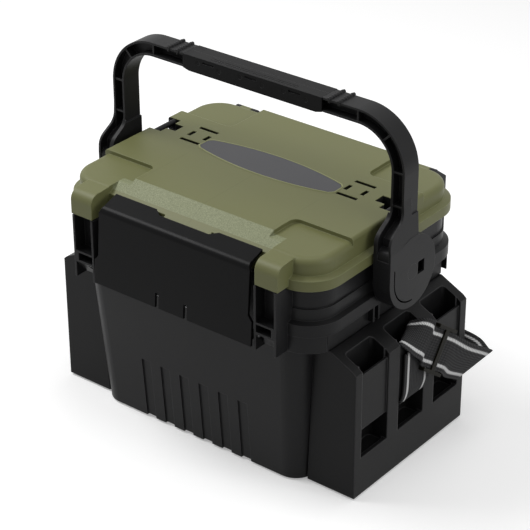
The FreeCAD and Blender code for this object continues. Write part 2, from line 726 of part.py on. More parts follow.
def lid_hollow():
    """The hollow under the lid, deeper under the raised middle."""
    skin, reach = sized("lid_skin"), sized("flange_reach")
    half_x, half_y = lid_x - reach - skin, lid_y - reach - skin
    low = level("lid_low_level") - 1
    ceiling = level("corner_level") - skin
    corner = sized("lid_corner") - reach - skin
    main = slab("lid_hollow_main", half_x, half_y, corner, (low, ceiling))
    middle_x = sized("corner_step_x") - skin
    raised_x = block("lid_hollow_middle", (-middle_x, middle_x), (-half_y + 30, half_y),
                     (low, level("lid_top_level") - skin))
    keep_y = sized("corner_step_y") - skin
    raised_y = block("lid_hollow_ends", (-sized("notch_inner_x") + skin, sized("notch_inner_x") - skin),
                     (-keep_y, keep_y), (low, level("lid_top_level") - skin))
    hollow = union("lid_hollow", [main, raised_x, raised_y])
    front_y = -sized("facet_low_y") + skin
    top_y = -sized("facet_top_y") + skin
    guard = prism("lid_front_guard", "YZ",
                  [(front_y, low - 2), (front_y, level("facet_low_level") - skin * 1.3),
                   (top_y, level("lid_top_level") - skin), (-lid_y - 5, level("lid_top_level") - skin),
                   (-lid_y - 5, low - 2)], (-sized("facet_half") - skin, sized("facet_half") + skin))
    end_room = sized("notch_inner_x") - skin
    notch_mid, notch_half = sized("slot_centre_y"), sized("notch_wide") / 2 + skin
    guards = [guard]
    for side, span in ((-1, (-lid_x, -end_room)), (1, (end_room, lid_x))):
        guards.append(block("lid_notch_guard_%d" % side, span,
                            (notch_mid - notch_half, notch_mid + notch_half),
                            (level("lid_top_level") - sized("notch_depth") - skin, level("lid_top_level"))))
    return cut("lid_hollow_trimmed", hollow, guards)


def lid_block():
    """The right front block, which caps its pillar."""
    low, high = level("block_low_level"), level("block_high_level")
    front, back = -sized("block_front"), -sized("facet_top_y")
    solid = prism("lid_block_solid", "YZ",
                  [(front, low), (back, low), (back, level("corner_level")), (front, high)],
                  (sized("facet_half"), sized("block_outer")))

    def is_brow(edge):
        box = edge.BoundBox
        return box.YLength < 0.01 and box.YMin < number(front) + 0.1 and box.ZMin > number(low) + 1

    return softened("lid_block_right", solid, sized("block_round"), is_brow)


def lid_knuckle():
    """The right hinge knuckle behind the lid."""
    side = sized("hinge_side_gap")
    span = (pillar_in + sized("ear_width") + side, pillar_out - sized("ear_width") - side)
    radius = sized("knuckle_radius")
    eye = rod("knuckle_eye", "x", span, radius, y=hinge_y, z=hinge_z)
    root_y = lid_y - sized("flange_reach") - 2
    root = block("knuckle_root", span, (root_y, hinge_y), (hinge_z - radius, hinge_z + radius))
    return union("knuckle_right", [eye, root])


def ear_reliefs():
    """Round room in the lid for the ears that hold its pins."""
    side, ear = sized("hinge_side_gap"), sized("ear_width")
    radius = sized("knuckle_radius") + sized("relief")
    reliefs = []
    for index, low in enumerate((pillar_in, pillar_out - ear)):
        room = rod("ear_relief_%d" % index, "x", (low - side, low + ear + side), radius, y=hinge_y, z=hinge_z)
        reliefs += both_sides("ear_relief_%d" % index, room)
    return reliefs


def lid_slots():
    """Four slots in a square near each end of the lid."""
    x_mid, y_mid = sized("slot_centre_x"), sized("slot_centre_y")
    half, wide = sized("slot_group_x") / 2, sized("slot_width") / 2
    reach, short = sized("slot_group_y") / 2, sized("short_slot_length") / 2
    spread = sized("short_slot_spacing") / 2
    z = (level("corner_level") - sized("lid_skin") - 5, level("lid_top_level") + 1)
    slots = []
    for index, side in enumerate((-1, 1)):
        y = y_mid + reach * side
        slots.append(block("long_slot_%d" % index, (x_mid - half, x_mid + half), (y - wide, y + wide), z))
        x = x_mid + spread * side
        slots.append(block("short_slot_%d" % index, (x - wide, x + wide), (y_mid - short, y_mid + short), z))
    return slots


def end_notch():
    """The stepped notch in the lid's right end."""
    y = sized("slot_centre_y")
    narrow, broad = sized("notch_narrow") / 2, sized("notch_wide") / 2
    top = level("lid_top_level")
    z = (top - sized("notch_depth"), top + 1)
    inner = block("notch_narrow_part", (sized("notch_inner_x"), sized("notch_step_x") + 1),
                  (y - narrow, y + narrow), z)
    outer_part = block("notch_wide_part", (sized("notch_step_x"), lid_x + 1), (y - broad, y + broad), z)
    return [inner, outer_part]


def plate_outline(grow):
    """The long leaf-shaped outline of the lid's plate, drawn with two arcs and two short ends."""
    end, end_half = number(sized("plate_end")) + grow, number(sized("plate_end_half")) + grow
    middle = number(sized("plate_middle_half")) + grow
    y = number(sized("plate_y"))
    inset = 5
    corners = [Vector(-end + inset, y - end_half, 0), Vector(end - inset, y - end_half, 0),
               Vector(end, y - end_half + inset, 0), Vector(end, y + end_half - inset, 0),
               Vector(end - inset, y + end_half, 0), Vector(-end + inset, y + end_half, 0),
               Vector(-end, y + end_half - inset, 0), Vector(-end, y - end_half + inset, 0)]
    edges = [Part.Arc(corners[0], Vector(0, y - middle, 0), corners[1]).toShape(),
             Part.makeLine(corners[1], corners[2]), Part.makeLine(corners[2], corners[3]),
             Part.makeLine(corners[3], corners[4]),
             Part.Arc(corners[4], Vector(0, y + middle, 0), corners[5]).toShape(),
             Part.makeLine(corners[5], corners[6]), Part.makeLine(corners[6], corners[7]),
             Part.makeLine(corners[7], corners[0])]
    return Part.Face(Part.Wire(edges))


def plate_solid(label, grow, low, high):
    """The leaf outline has arcs through three points, so its shape is set here."""
    solid = doc.addObject("Part::Feature", label)
    solid.Shape = plate_outline(grow).extrude(Vector(0, 0, number(high - low)))
    move(solid, z=low)
    return solid


facet, tongue = lid_facet()
lid_top = level("lid_top_level")
plate_low = lid_top - sized("plate_sink")
lid_body = cut("lid_faceted", lid_outer(), [facet])
plate_rim = plate_solid("plate_rim", number(sized("plate_rim_width")) + 0.3, plate_low,
                        lid_top + sized("plate_rim_rise"))
lid_solid = union("lid_solid", [lid_body, tongue, plate_rim] + both_sides("lid_block", lid_block()))
lid_shell = cut("lid_shell", lid_solid, [lid_hollow()])
lid_hinged = union("lid_hinged", [cut("lid_relieved", lid_shell, ear_reliefs())]
                   + both_sides("knuckle", lid_knuckle()))
lid_cuts = [plate_solid("plate_sink_tool", 0.3, plate_low, lid_top + 1)]
for number_of_cut, tool in enumerate(lid_slots() + end_notch()):
    lid_cuts += both_sides("lid_cut_%d" % number_of_cut, tool)
pin_room = rod("knuckle_bore", "x", (pillar_in, pillar_out), sized("hinge_pin_radius") + gap,
               y=hinge_y, z=hinge_z)
lid_cuts += both_sides("knuckle_bore", pin_room)
keep("lid", cut("lid", lid_hinged, lid_cuts))

keep("lid_plate", plate_solid("lid_plate", 0, plate_low, plate_low + sized("plate_thick")))


# Pins of the lid hinge, one at each back corner
def lid_pins():
    pin = rod("lid_pin", "x", (pillar_in - 1, pillar_out + 1), sized("hinge_pin_radius"),
              y=hinge_y, z=hinge_z)
    keep("lid_pin_right", pin)
    keep("lid_pin_left", mirrored("lid_pin_left", pin))


lid_pins()


# Round bars set in the lid's end notches
def end_bars():
    y, broad = sized("slot_centre_y"), sized("notch_wide") / 2
    side = sized("end_bar_gap")
    radius, x = sized("end_bar_radius"), sized("end_bar_x")
    floor = lid_top - sized("notch_depth")
    bar_z = lid_top - radius - 0.4
    span = (y - broad + side, y + broad - side)
    bar = rod("end_bar_round", "y", span, radius, x=x, z=bar_z)
    foot = block("end_bar_foot", (sized("notch_step_x") + side, x + radius), span, (floor, floor + 4))
    posts = []
    for index, low in enumerate((span[0], span[1] - 3)):
        posts.append(block("end_bar_post_%d" % index, (x - radius, x + radius), (low, low + 3),
                           (floor, bar_z)))
    bar_right = union("lid_end_bar_right", [bar, foot] + posts)
    keep("lid_end_bar_right", bar_right)
    keep("lid_end_bar_left", mirrored("lid_end_bar_left", bar_right))


end_bars()


# Front latch: a tall plate that swings on a rod low down and laps over the lid's facet
def latch():
    low_z, bend_z = level("latch_low_level"), level("latch_bend_level")
    end_z = level("lip_end_level")
    low_y, bend_y, end_y = -sized("latch_low_y"), -sized("latch_bend_y"), -sized("lip_end_y")
    thick, bend = sized("latch_thick"), sized("latch_bend_round")
    profile = [(low_y, low_z), (bend_y, bend_z), (end_y, end_z), (end_y, end_z - thick),
               (bend_y + thick, bend_z - thick * 0.75), (low_y + thick, low_z)]
    half, upper, lip = sized("latch_half"), sized("latch_upper_half"), sized("lip_half")

    def is_bend(edge):
        box = edge.BoundBox
        return box.XLength > 1 and abs(box.ZMin - number(bend_z)) < 0.1

    def is_inner_bend(edge):
        box = edge.BoundBox
        return box.XLength > 1 and abs(box.ZMin - number(bend_z - thick * 0.75)) < 0.1

    flat = prism("latch_flat", "YZ", profile, (-half, half))
    plate = softened("latch_plate", softened("latch_bent", flat, bend, is_bend),
                     bend - thick, is_inner_bend)
    shoulder_z, rise = level("latch_shoulder_level"), sized("latch_shoulder_rise")
    trim = prism("latch_side_trim", "XZ",
                 [(half + 1, shoulder_z), (upper, shoulder_z + rise), (upper, bend_z - bend * 0.6),
                  (lip, bend_z + 2), (lip, end_z + 5), (half + 1, end_z + 5)],
                 (low_y - 5, end_y + 5))
    floor_half, mouth = sized("lip_notch_floor_half"), sized("lip_notch_half")
    notch_y = -sized("lip_notch_y")
    finger = prism("lip_notch", "XY", [(-floor_half, notch_y), (floor_half, notch_y),
                                       (mouth, end_y + 1), (-mouth, end_y + 1)],
                   (bend_z - bend * 0.6, end_z + 5))
    slot_x, slot_half = sized("latch_slot_x"), sized("latch_slot_width") / 2
    slot = block("latch_slot", (slot_x - slot_half, slot_x + slot_half), (low_y - 3, low_y + thick * 2),
                 (low_z - 1, level("latch_slot_top_level")))
    radius, length = sized("latch_knuckle_radius"), sized("latch_knuckle_length")
    span = (half - length, half)
    eye = rod("latch_eye", "x", span, radius, y=latch_axis_y, z=latch_axis_z)
    web = block("latch_web", span, (low_y + thick / 2 + 1, latch_axis_y),
                (latch_axis_z - radius, latch_axis_z + radius))
    knuckle = union("latch_knuckle", [eye, web])
    rib_z = level("latch_slot_top_level") + 4
    rib = block("latch_rib", (-upper + 3, upper - 3), (low_y + thick / 2 + 1.5, low_y + thick + 4.5),
                (rib_z, rib_z + 3))
    trimmed = cut("latch_trimmed", plate, both_sides("latch_side_trim", trim) + [finger]
                  + both_sides("latch_slot", slot))
    joined = union("latch_joined", [trimmed, rib] + both_sides("latch_knuckle", knuckle))
    bore = rod("latch_bore", "x", (half - length - 1, half + 1), sized("latch_rod_radius") + gap,
               y=latch_axis_y, z=latch_axis_z)
    keep("front_latch", cut("front_latch", joined, both_sides("latch_bore", bore)))
    reach = pillar_in + sized("pillar_wall") + 2
    keep("latch_rod", rod("latch_rod", "x", (-reach, reach), sized("latch_rod_radius"),
                          y=latch_axis_y, z=latch_axis_z))


latch()


# Handle pivots: round pins that turn in the tub's side walls
def pivots():
    neck, head = sized("pivot_neck_radius"), sized("pivot_radius")
    inside = body_x - sized("body_wall")
    seat = seat_out + 0.2
    shaft = rod("pivot_neck", "x", (inside - sized("pivot_flange_thick"), seat), neck, z=pivot_z)
    flange = rod("pivot_flange", "x",
                 (inside - sized("pivot_flange_thick") - 0.2, inside - 0.2),
                 sized("pivot_flange_radius"), z=pivot_z)
    drum = rod("pivot_drum", "x", (seat, boss_out), head, z=pivot_z)
    pivot = union("handle_pivot_right", [shaft, flange, drum])
    keep("handle_pivot_right", pivot)
    keep("handle_pivot_left", mirrored("handle_pivot_left", pivot))


pivots()


# Handle: a ribbed channel bent into a hoop, with a round boss at each pivot
def hoop(label, half, corner_in, top, y):
    """A hoop-shaped block, rounded at the top and open below the pivots."""
    low = pivot_z - 150
    outline = rounded(label + "_outline", "XZ", y[1], half, low, top, corner_in)
    return extruded(label, outline, y[1] - y[0])


def handle_hoop():
    half, inner, thick = hoop_out, hoop_in, sized("hoop_thick")
    corner, top = sized("handle_corner"), level("handle_top_level")
    front, back = -sized("handle_front"), sized("handle_back")
    outer_hoop = hoop("hoop_outer", half, corner, top, (front, back))
    inner_hoop = hoop("hoop_inner", inner, corner - thick, top - thick, (front - 1, back + 1))
    flange, web = sized("handle_flange"), sized("handle_web")
    middle = (back + front) / 2
    channels = []
    for index, y in enumerate(((front - 1, middle - web / 2), (middle + web / 2, back + 1))):
        wide = hoop("channel_wide_%d" % index, half - flange, corner - flange, top - flange, y)
        narrow = hoop("channel_narrow_%d" % index, inner + flange, corner - thick + flange,
                      top - thick + flange, (y[0] - 1, y[1] + 1))
        channels.append(cut("channel_%d" % index, wide, [narrow]))
    below = block("hoop_below", (-half - 5, half + 5), (front - 5, back + 5), (pivot_z - 160, pivot_z))
    solid = cut("hoop_solid", outer_hoop, [inner_hoop, below])
    return cut("hoop_channelled", solid, channels)


def handle_ribs():
    """Cross ribs in the channels: two on each arm, one at each corner and one past it."""
    half, thick = hoop_out, sized("hoop_thick")
    corner, top = sized("handle_corner"), level("handle_top_level")
    front, back = -sized("handle_front"), sized("handle_back")
    rib = sized("rib_thick")
    y = (front + 1.2, back - 1.2)
    ribs = []
    for index, name in enumerate(("arm_rib_low_rise", "arm_rib_high_rise")):
        z = pivot_z + sized(name)
        ribs.append(block("arm_rib_%d" % index, (half - thick + 1, half - 1), y, (z, z + rib)))
    x = half - corner
    ribs.append(block("top_rib", (x - rib, x), y, (top - thick + 1, top - 1)))
    slanted = block("corner_rib", (corner - thick + 1, corner - 1), y, (-rib / 2, rib / 2))
    slanted.Placement = Placement(Vector(), Rotation(Vector(0, 1, 0), -45))
    slanted.setExpression("Placement.Base.x", (half - corner + (corner - thick + 1) * 0.70711).formula)
    slanted.setExpression("Placement.Base.z", (top - corner + (corner - thick + 1) * 0.70711).formula)
    slanted.setExpression("Placement.Base.y", y[0].formula)
    ribs.append(slanted)
    pieces = []
    for index, piece in enumerate(ribs):
        pieces += both_sides("handle_rib_%d" % index, piece)
    return pieces


def handle_boss():
    """The right boss: a round plate with a rim, hub, spring tongue and flared front."""
    radius, skin, rim_wall = sized("boss_radius"), sized("boss_skin"), sized("boss_rim")
    inner, outer_x = boss_in, boss_out
    front, back = -sized("handle_front"), sized("handle_back")
    flare_z, flare_top = level("flare_level"), level("flare_top_level")
    arm_z, blend_z = flare_top + sized("flare_reach"), level("flare_blend_level")
    web, flange, turn = sized("handle_web") / 2, sized("handle_flange"), sized("flare_round")
    middle = (front + back) / 2
    disc = rod("boss_disc", "x", (inner, outer_x), radius, z=pivot_z)

    def is_bend(edge):
        box = edge.BoundBox
        at_front = abs(box.YMin - number(front)) < 0.1 and abs(box.ZMin - number(flare_top)) < 0.1
        at_flare = abs(box.YMin + number(radius)) < 0.1 and abs(box.ZMin - number(flare_z)) < 0.1
        return box.XLength > 1 and (at_front or at_flare)

    sharp = prism("boss_cheek_sharp", "YZ",
                  [(-radius, pivot_z), (back, pivot_z), (back, flare_top), (middle + web, flare_top),
                   (middle + web, arm_z), (front, arm_z), (front, flare_top), (-radius, flare_z)],
                  (inner, outer_x))
    lean = prism("boss_lean", "XZ", [(hoop_out, arm_z + 1), (outer_x + 1, arm_z + 1), (outer_x + 1, blend_z),
                                     (outer_x, blend_z), (hoop_out, arm_z)], (-radius - 1, back + 1))
    inside = block("boss_arm_inside", (inner - 1, hoop_in), (front - 1, back + 1), (flare_top, arm_z + 1))
    cheek = cut("boss_cheek", softened("boss_cheek_round", sharp, turn, is_bend), [lean, inside])
    solid = union("boss_solid", [disc, cheek])
    pit = rod("boss_pit", "x", (inner - 1, outer_x - skin), radius - rim_wall, z=pivot_z)
    hub = rod("boss_hub", "x", (inner - 2, outer_x), sized("hub_radius"), z=pivot_z)
    floor, pocket_low = sized("flare_floor"), level("flare_pocket_low_level")
    web_face = middle - web
    trench = prism("boss_trench", "YZ",
                   [(-radius - 5, pocket_low), (-radius + floor, pocket_low), (-radius + floor, flare_z - 4),
                    (web_face, flare_top - 4), (web_face, arm_z + 1), (-radius - 5, arm_z + 1)],
                   (inner, outer_x))
    between = prism("boss_between", "XZ",
                    [(hoop_in + flange, pocket_low - 1), (outer_x - skin, pocket_low - 1),
                     (outer_x - skin, blend_z), (hoop_out - flange, arm_z), (hoop_out - flange, arm_z + 2),
                     (hoop_in + flange, arm_z + 2)], (-radius - 6, back))
    pocket = common("boss_channel", trench, between)

    def is_bump_front(edge):
        box = edge.BoundBox
        return box.XLength > 1 and box.YMax < number(front) - 20 and box.ZMin > number(pocket_low) + 1

    bump = softened("boss_bump",
                    block("boss_bump_sharp", (hoop_in + flange - 1, outer_x - skin + 1),
                          (-radius + 1, -radius + floor + 1), (pocket_low - 1, level("bump_high_level"))),
                    sized("bump_round"), is_bump_front)
    ring_r, ring_w = sized("tongue_slot_radius"), sized("tongue_slot_width")
    slot_x = (outer_x - skin - 1, outer_x + 1)
    ring = cut("tongue_ring", rod("tongue_ring_out", "x", slot_x, ring_r + ring_w / 2, z=pivot_z),
               [rod("tongue_ring_in", "x", (slot_x[0] - 1, slot_x[1] + 1), ring_r - ring_w / 2, z=pivot_z)])
    quarter = common("tongue_quarter", ring,
                     block("tongue_keep", slot_x, (-radius, -radius + radius), (pivot_z - radius, pivot_z)))
    riser = block("tongue_riser", slot_x, (-ring_r - ring_w / 2, -ring_r + ring_w / 2),
                  (pivot_z, level("tongue_slot_top_level")))
    key_y = sized("key_hole_y")
    key_half = sized("key_hole_height") / 2
    key = block("key_hole", slot_x, (key_y, key_y + sized("key_hole_width")),
                (pivot_z - key_half, pivot_z + key_half))
    hollow = cut("boss_pit_ring", pit, [hub])
    opened = cut("boss_opened", solid, [hollow, pocket, quarter, riser, key])
    return union("boss_right", [opened, bump])


def handle_ridges():
    """Two low ridges over the hoop beyond each end of the grip, each beaded and hooked in front."""
    top = level("handle_top_level")
    front, back = -sized("handle_front"), sized("handle_back")
    radius, over, bead = sized("ridge_radius"), sized("ridge_over"), sized("ridge_bump")
    ridges = []
    for index in range(2):
        x = sized("ridge_x") + sized("ridge_pitch") * index
        pieces = [rod("ridge_bar_%d" % index, "y", (front - over, back + over), radius, x=x, z=top),
                  rod("ridge_hook_%d" % index, "z", (top - 4, top), radius - 0.4, x=x,
                      y=front - over + radius)]
        for place in range(6):
            y = front + (back - front) * ((place + 0.5) / 6)
            pieces.append(rod("ridge_bead_%d_%d" % (index, place), "y", (y - 0.9, y + 0.9), radius + bead,
                              x=x, z=top))
        ridges += both_sides("ridge_%d" % index, union("ridge_%d" % index, pieces))
    return ridges


def grip_envelope(label, grow):
    """The space the grip's two shells wrap round, larger by grow."""
    top, thick = level("handle_top_level"), sized("hoop_thick")
    front, back = -sized("handle_front"), sized("handle_back")
    skin = sized("grip_skin")
    half = sized("grip_half") + 2
    return block(label, (-half, half),
                 (front + skin - grow, back - skin + grow),
                 (top - thick + skin - grow, top - skin + grow))


def handle():
    ribbed = union("handle_ribbed", [handle_hoop()] + handle_ribs() + handle_ridges()
                   + both_sides("boss", handle_boss()))
    half, thick = sized("grip_half") + 0.3, sized("hoop_thick")
    top, front, back = level("handle_top_level"), -sized("handle_front"), sized("handle_back")
    sleeve = block("grip_room", (-half, half), (front - 5, back + 5), (top - thick - 5, top + 5))
    core = grip_envelope("grip_core", 0)
    neck = cut("grip_neck_room", sleeve, [core])
    bore = rod("handle_bore", "x", (boss_in - 1, boss_out + 1),
               sized("pivot_radius") + gap, z=pivot_z)
    keep("handle_frame", cut("handle_frame", ribbed, [neck] + both_sides("handle_bore", bore)))


handle()


# Grip: two shells that snap round the hoop's top
def grips():
    top, thick = level("handle_top_level"), sized("hoop_thick")
    front, back = -sized("handle_front"), sized("handle_back")
    split = (front + back) / 2
    half, drop, taper = sized("grip_half"), sized("grip_drop"), sized("grip_taper")
    swell = 1.2
    outline = [(-half, top - thick), (-half + taper, top - thick - drop),
               (half - taper, top - thick - drop), (half, top - thick), (half, top), (-half, top)]
    core = grip_envelope("grip_hollow", 0.3)
    for name, y in (("grip_front", (front - swell, split)), ("grip_rear", (split, back + swell))):
        shell = cut(name + "_shell", prism(name + "_solid", "XZ", outline, y), [core])
        if name == "grip_front":
            length, height = sized("grip_slot_length") / 2, sized("grip_slot_height")
            slots = []
            for index in (-1, 0, 1):
                x = sized("grip_slot_spacing") * index
                slots.append(block("grip_slot_%d" % (index + 2), (x - length, x + length),
                                   (front - swell - 1, front - swell + 1.4),
                                   (top - 6, top - 6 + height)))
                for side, z in ((-1, top - 7), (1, top - 9)):
                    slots.append(rod("grip_mark_%d_%d" % (index + 2, side), "y",
                                     (front - swell - 1, front - swell + 0.35), sized("grip_mark_radius"),
                                     x=x + (length + 7) * side, z=z))
            groove = sized("grip_groove_half")
            for index, y in enumerate((front + 3, front + 6.5)):
                slots.append(block("grip_groove_%d" % index, (-groove, groove), (y, y + 1),
                                   (top - 0.6, top + 1)))
            shell = cut("grip_front_slotted", shell, slots)
        keep(name, shell)


grips()


# Strap: flat webbing that wraps the middle socket's wall, passes through a slider, folds at
# its tip and runs back behind the rack. Each station has the two edges of the webbing.
rack_face = number(sized("rack_half"))
rack_back = number(sized("rack_depth")) / 2
SLIDER_MIDDLE = Vector(rack_face + number(sized("slider_out")), 38, 132)
SLIDER_RUN = Vector(0.2075, 0.787, -0.58).normalize()
SLIDER_WIDTH = Vector(-0.012, 0.595, 0.803).normalize()


def strap_stations():
    out, rear = rack_face, rack_back
    outside = [
        ((out + 1, -17, 148), (out + 1, 30, 150)),
        ((out + 1, -17.5, 120), (out + 1.3, 30.5, 121)),
        ((out + 1.2, -19, 98), (out + 2.6, 29.5, 99)),
        ((out + 1, -21.5, 90), (out + 1.9, 26, 90.5)),
    ]
    under_wall = [
        ((out - 0.5, -23.3, 85.3), (out - 0.2, 24.3, 85.3)),
        ((out - 3.9, -23.7, 82.9), (out - 3.9, 23.9, 82.9)),
        ((out - 7.7, -23.6, 85.8), (out - 7.7, 23.6, 85.8)),
        ((out - 8.6, -23.6, 93), (out - 8.6, 23.6, 93)),
    ]
    up_the_socket = [
        ((out - 8.7, -23.6, 125), (out - 9.4, 23.6, 125)),
        ((out - 8.5, -23.4, 150), (out - 16.5, 23.1, 147)),
    ]
    over_the_notch = [
        ((out - 6.8, -23, 158.6), (out - 18.8, 20.6, 158.6)),
        ((out - 2.4, -22.9, 162.6), (out - 19.2, 19.7, 167.3)),
        ((out + 2.9, -17.5, 156.6), (out - 12.4, 23.5, 171)),
        ((out + 6.2, -8, 144.8), (out - 1.4, 29.4, 175)),
        ((out + 9.1, 3.9, 133), (out + 5, 36.7, 169.9)),
    ]
    through_slider = []
    for run in (-20, -9, 9, 20):
        middle = SLIDER_MIDDLE + SLIDER_RUN * run
        edge = SLIDER_WIDTH * (number(sized("strap_width")) / 2)
        through_slider.append((tuple(middle - edge), tuple(middle + edge)))
    to_the_tip = [
        ((out + 11.2, rear - 59.3, 89.1), (out + 18.8, rear - 11.2, 114.6)),
        ((out + 10.7, rear - 32.6, 72.1), (out + 20.9, rear + 31, 85.9)),
    ]
    back_behind = [
        ((out + 8.2, rear - 32.2, 69.6), (out + 18.4, rear + 31.4, 83)),
        ((out + 5.7, rear - 31.6, 72.1), (out + 15.9, rear + 31, 85.9)),
        ((out + 5, rear + 3, 66), (out + 6, rear + 23.5, 101.7)),
        ((out - 10, rear + 9, 72), (out - 13, rear + 8, 116)),
        ((out - 38, rear + 1.5, 78), (out - 40, rear + 1.5, 124)),
    ]
    return outside + under_wall + up_the_socket + over_the_notch + through_slider + to_the_tip + back_behind


def smoothed(points, steps):
    """Points along a curve through the given ones, with each span cut into equal steps."""
    places = [0.0]
    for before, after in zip(points, points[1:]):
        places.append(places[-1] + (after - before).Length)
    slopes = []
    for index in range(len(points)):
        low, high = max(index - 1, 0), min(index + 1, len(points) - 1)
        slopes.append((points[high] - points[low]) * (1 / (places[high] - places[low])))
    curve = []
    for index in range(len(points) - 1):
        span = places[index + 1] - places[index]
        for step in range(steps):
            t = step / steps
            pull = slopes[index] * (span * t * (1 - t) ** 2) - slopes[index + 1] * (span * t * t * (1 - t))
            share = t * t * (3 - 2 * t)
            curve.append(points[index] * (1 - share) + points[index + 1] * share + pull)
    return curve + [points[-1]]


def ribbon(label, stations, thick):
    """A flat band through the stations. Its sections turn, so its shape is set here."""
    lows = smoothed([Vector(*low) for low, high in stations], 3)
    highs = smoothed([Vector(*high) for low, high in stations], 3)
    middles = [(low + high) * 0.5 for low, high in zip(lows, highs)]
    sections = []
    for index, (low, high) in enumerate(zip(lows, highs)):
        before, after = middles[max(index - 1, 0)], middles[min(index + 1, len(middles) - 1)]
        side = (high - low).cross(after - before).normalize() * (thick / 2)
        sections.append([low - side, high - side, high + side, low + side])
    outlines = [sections[0], sections[-1]]
    for first, second in zip(sections, sections[1:]):
        for corner in range(4):
            along = (corner + 1) % 4
            start, end = (corner, along) if corner < 2 else (along, corner)
            outlines.append([first[start], first[end], second[end]])
            outlines.append([first[start], second[end], second[start]])
    faces = [Part.Face(Part.makePolygon(outline + outline[:1])) for outline in outlines]
    skin = Part.makeShell(faces)
    skin.sewShape()
    whole = Part.Solid(skin)
    if whole.Volume < 0:
        whole.reverse()
    solid = doc.addObject("Part::Feature", label)
    solid.Shape = whole
    return solid


strap = ribbon("rod_strap", strap_stations(), number(sized("strap_thick")))
keep("rod_strap", move(strap, z=base))


def slider():
    """A frame with a middle bar in front of the webbing and two bars behind it."""
    half_run, half_wide = sized("slider_width") / 2, sized("slider_length") / 2
    bar, thick = sized("slider_bar"), sized("slider_thick")
    webbing = sized("strap_width") / 2 + 1
    near = sized("strap_thick") / 2 + sized("slider_gap")
    far = near + thick
    pieces = []
    for index, side in enumerate((-1, 1)):
        low, high = (webbing, half_wide) if side > 0 else (-half_wide, -webbing)
        pieces.append(block("slider_end_%d" % index, (-half_run, half_run), (low, high), (-far, far)))
        low, high = (half_run - bar, half_run) if side > 0 else (-half_run, bar - half_run)
        pieces.append(block("slider_back_%d" % index, (low, high), (-half_wide, half_wide), (-far, -near)))
    pieces.append(block("slider_front", (-bar / 2, bar / 2), (-half_wide, half_wide), (near, far)))
    frame = union("strap_slider", pieces)
    outward = SLIDER_RUN.cross(SLIDER_WIDTH)
    turn = Rotation(SLIDER_RUN, SLIDER_WIDTH, outward, "ZXY")
    frame.Placement = Placement(SLIDER_MIDDLE, turn)
    frame.setExpression("Placement.Base.x", (sized("rack_half") + sized("slider_out")).formula)
    frame.setExpression("Placement.Base.z", (base + SLIDER_MIDDLE.z).formula)
    keep("strap_slider", frame)


slider()


# Write every sub-part, once all of them are sound
doc.recompute()
for thing in doc.Objects:
    faults = [state for state in thing.State if state in ("Invalid", "Error")]
    if faults:
        raise RuntimeError("%s is %s" % (thing.Label, faults))
os.makedirs("parts", exist_ok=True)
for name, thing in nodes.items():
    shape = thing.Shape
    if shape.isNull() or not shape.isValid():
        raise RuntimeError("%s has no sound shape" % name)
    print("%-20s solids %d volume %.0f" % (name, len(shape.Solids), shape.Volume))
for name, thing in nodes.items():
    thing.Shape.exportStep("parts/%s.step" % name)
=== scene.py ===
import json
import math

import bpy
from mathutils import Matrix, Vector


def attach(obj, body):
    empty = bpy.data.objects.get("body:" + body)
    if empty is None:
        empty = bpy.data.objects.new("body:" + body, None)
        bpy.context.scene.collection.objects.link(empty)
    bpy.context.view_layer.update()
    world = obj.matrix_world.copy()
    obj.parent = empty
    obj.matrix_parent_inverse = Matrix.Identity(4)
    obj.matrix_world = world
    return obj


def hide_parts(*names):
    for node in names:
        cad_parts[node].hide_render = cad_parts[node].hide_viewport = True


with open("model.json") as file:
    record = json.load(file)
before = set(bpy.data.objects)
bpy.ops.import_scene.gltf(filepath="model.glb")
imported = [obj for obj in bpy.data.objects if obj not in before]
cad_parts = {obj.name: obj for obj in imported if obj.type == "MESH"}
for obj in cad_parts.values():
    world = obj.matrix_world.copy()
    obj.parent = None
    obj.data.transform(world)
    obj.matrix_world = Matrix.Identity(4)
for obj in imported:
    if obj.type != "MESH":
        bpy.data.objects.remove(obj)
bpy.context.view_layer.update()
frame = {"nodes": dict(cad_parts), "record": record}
nodes = frame["nodes"]


# Camera at the photograph's viewing angle
CAMERA_PLACE = Vector((1.2963, -1.6314, 1.3552))
CAMERA_RIGHT = Vector((0.7851, 0.6193, -0.0029))
CAMERA_UP = Vector((-0.3014, 0.3862, 0.8718))
LENS = 136.05


def make_camera():
    right = CAMERA_RIGHT.normalized()
    up = (CAMERA_UP - right * CAMERA_UP.dot(right)).normalized()
    back = right.cross(up)
    turn = Matrix((right, up, back)).transposed().to_4x4()
    data = bpy.data.cameras.new("camera")
    camera = bpy.data.objects.new("camera", data)
    bpy.context.scene.collection.objects.link(camera)
    camera.matrix_world = Matrix.Translation(CAMERA_PLACE) @ turn
    data.sensor_fit = "HORIZONTAL"
    data.sensor_width = 36
    data.lens = LENS
    data.clip_end = 50
    bpy.context.scene.camera = camera


make_camera()


# Heights and places that the finishes and the strap follow, in metres
BASE = 0.0025
LID_TOP = BASE + 0.308
LID_SKIN = 0.0036
FACET_TOP_Y = -0.1055
FACET_HALF = 0.1195
FACET_DEPTH = 0.02
SAND_LOW_Y = -0.1255
PANEL_LINE_X = 0.097
PANEL_LINE_HALF = 0.0004
PANEL_LINE_BACK = -0.0177
SLOT_MIDDLE_X = 0.1165
SLOT_MIDDLE_Y = 0.0273
SLOT_ROOM = 0.021
SLOT_LIP = 0.0009
NOTCH_INNER_X = 0.148
NOTCH_HALF = 0.019
NOTCH_DEPTH = 0.017
CUT_NEAR = 0.0004
CUT_FAR = 0.001
RACK_FACE = 0.220
RACK_BACK = 0.110
STRAP_WIDTH = 0.048
STRAP_THICK = 0.0018
YARN_PITCH = 0.003

# Where each stripe begins and ends, in shares of the webbing's width from its middle
STRIPE_INNER = 0.318
STRIPE_OUTER = 0.398

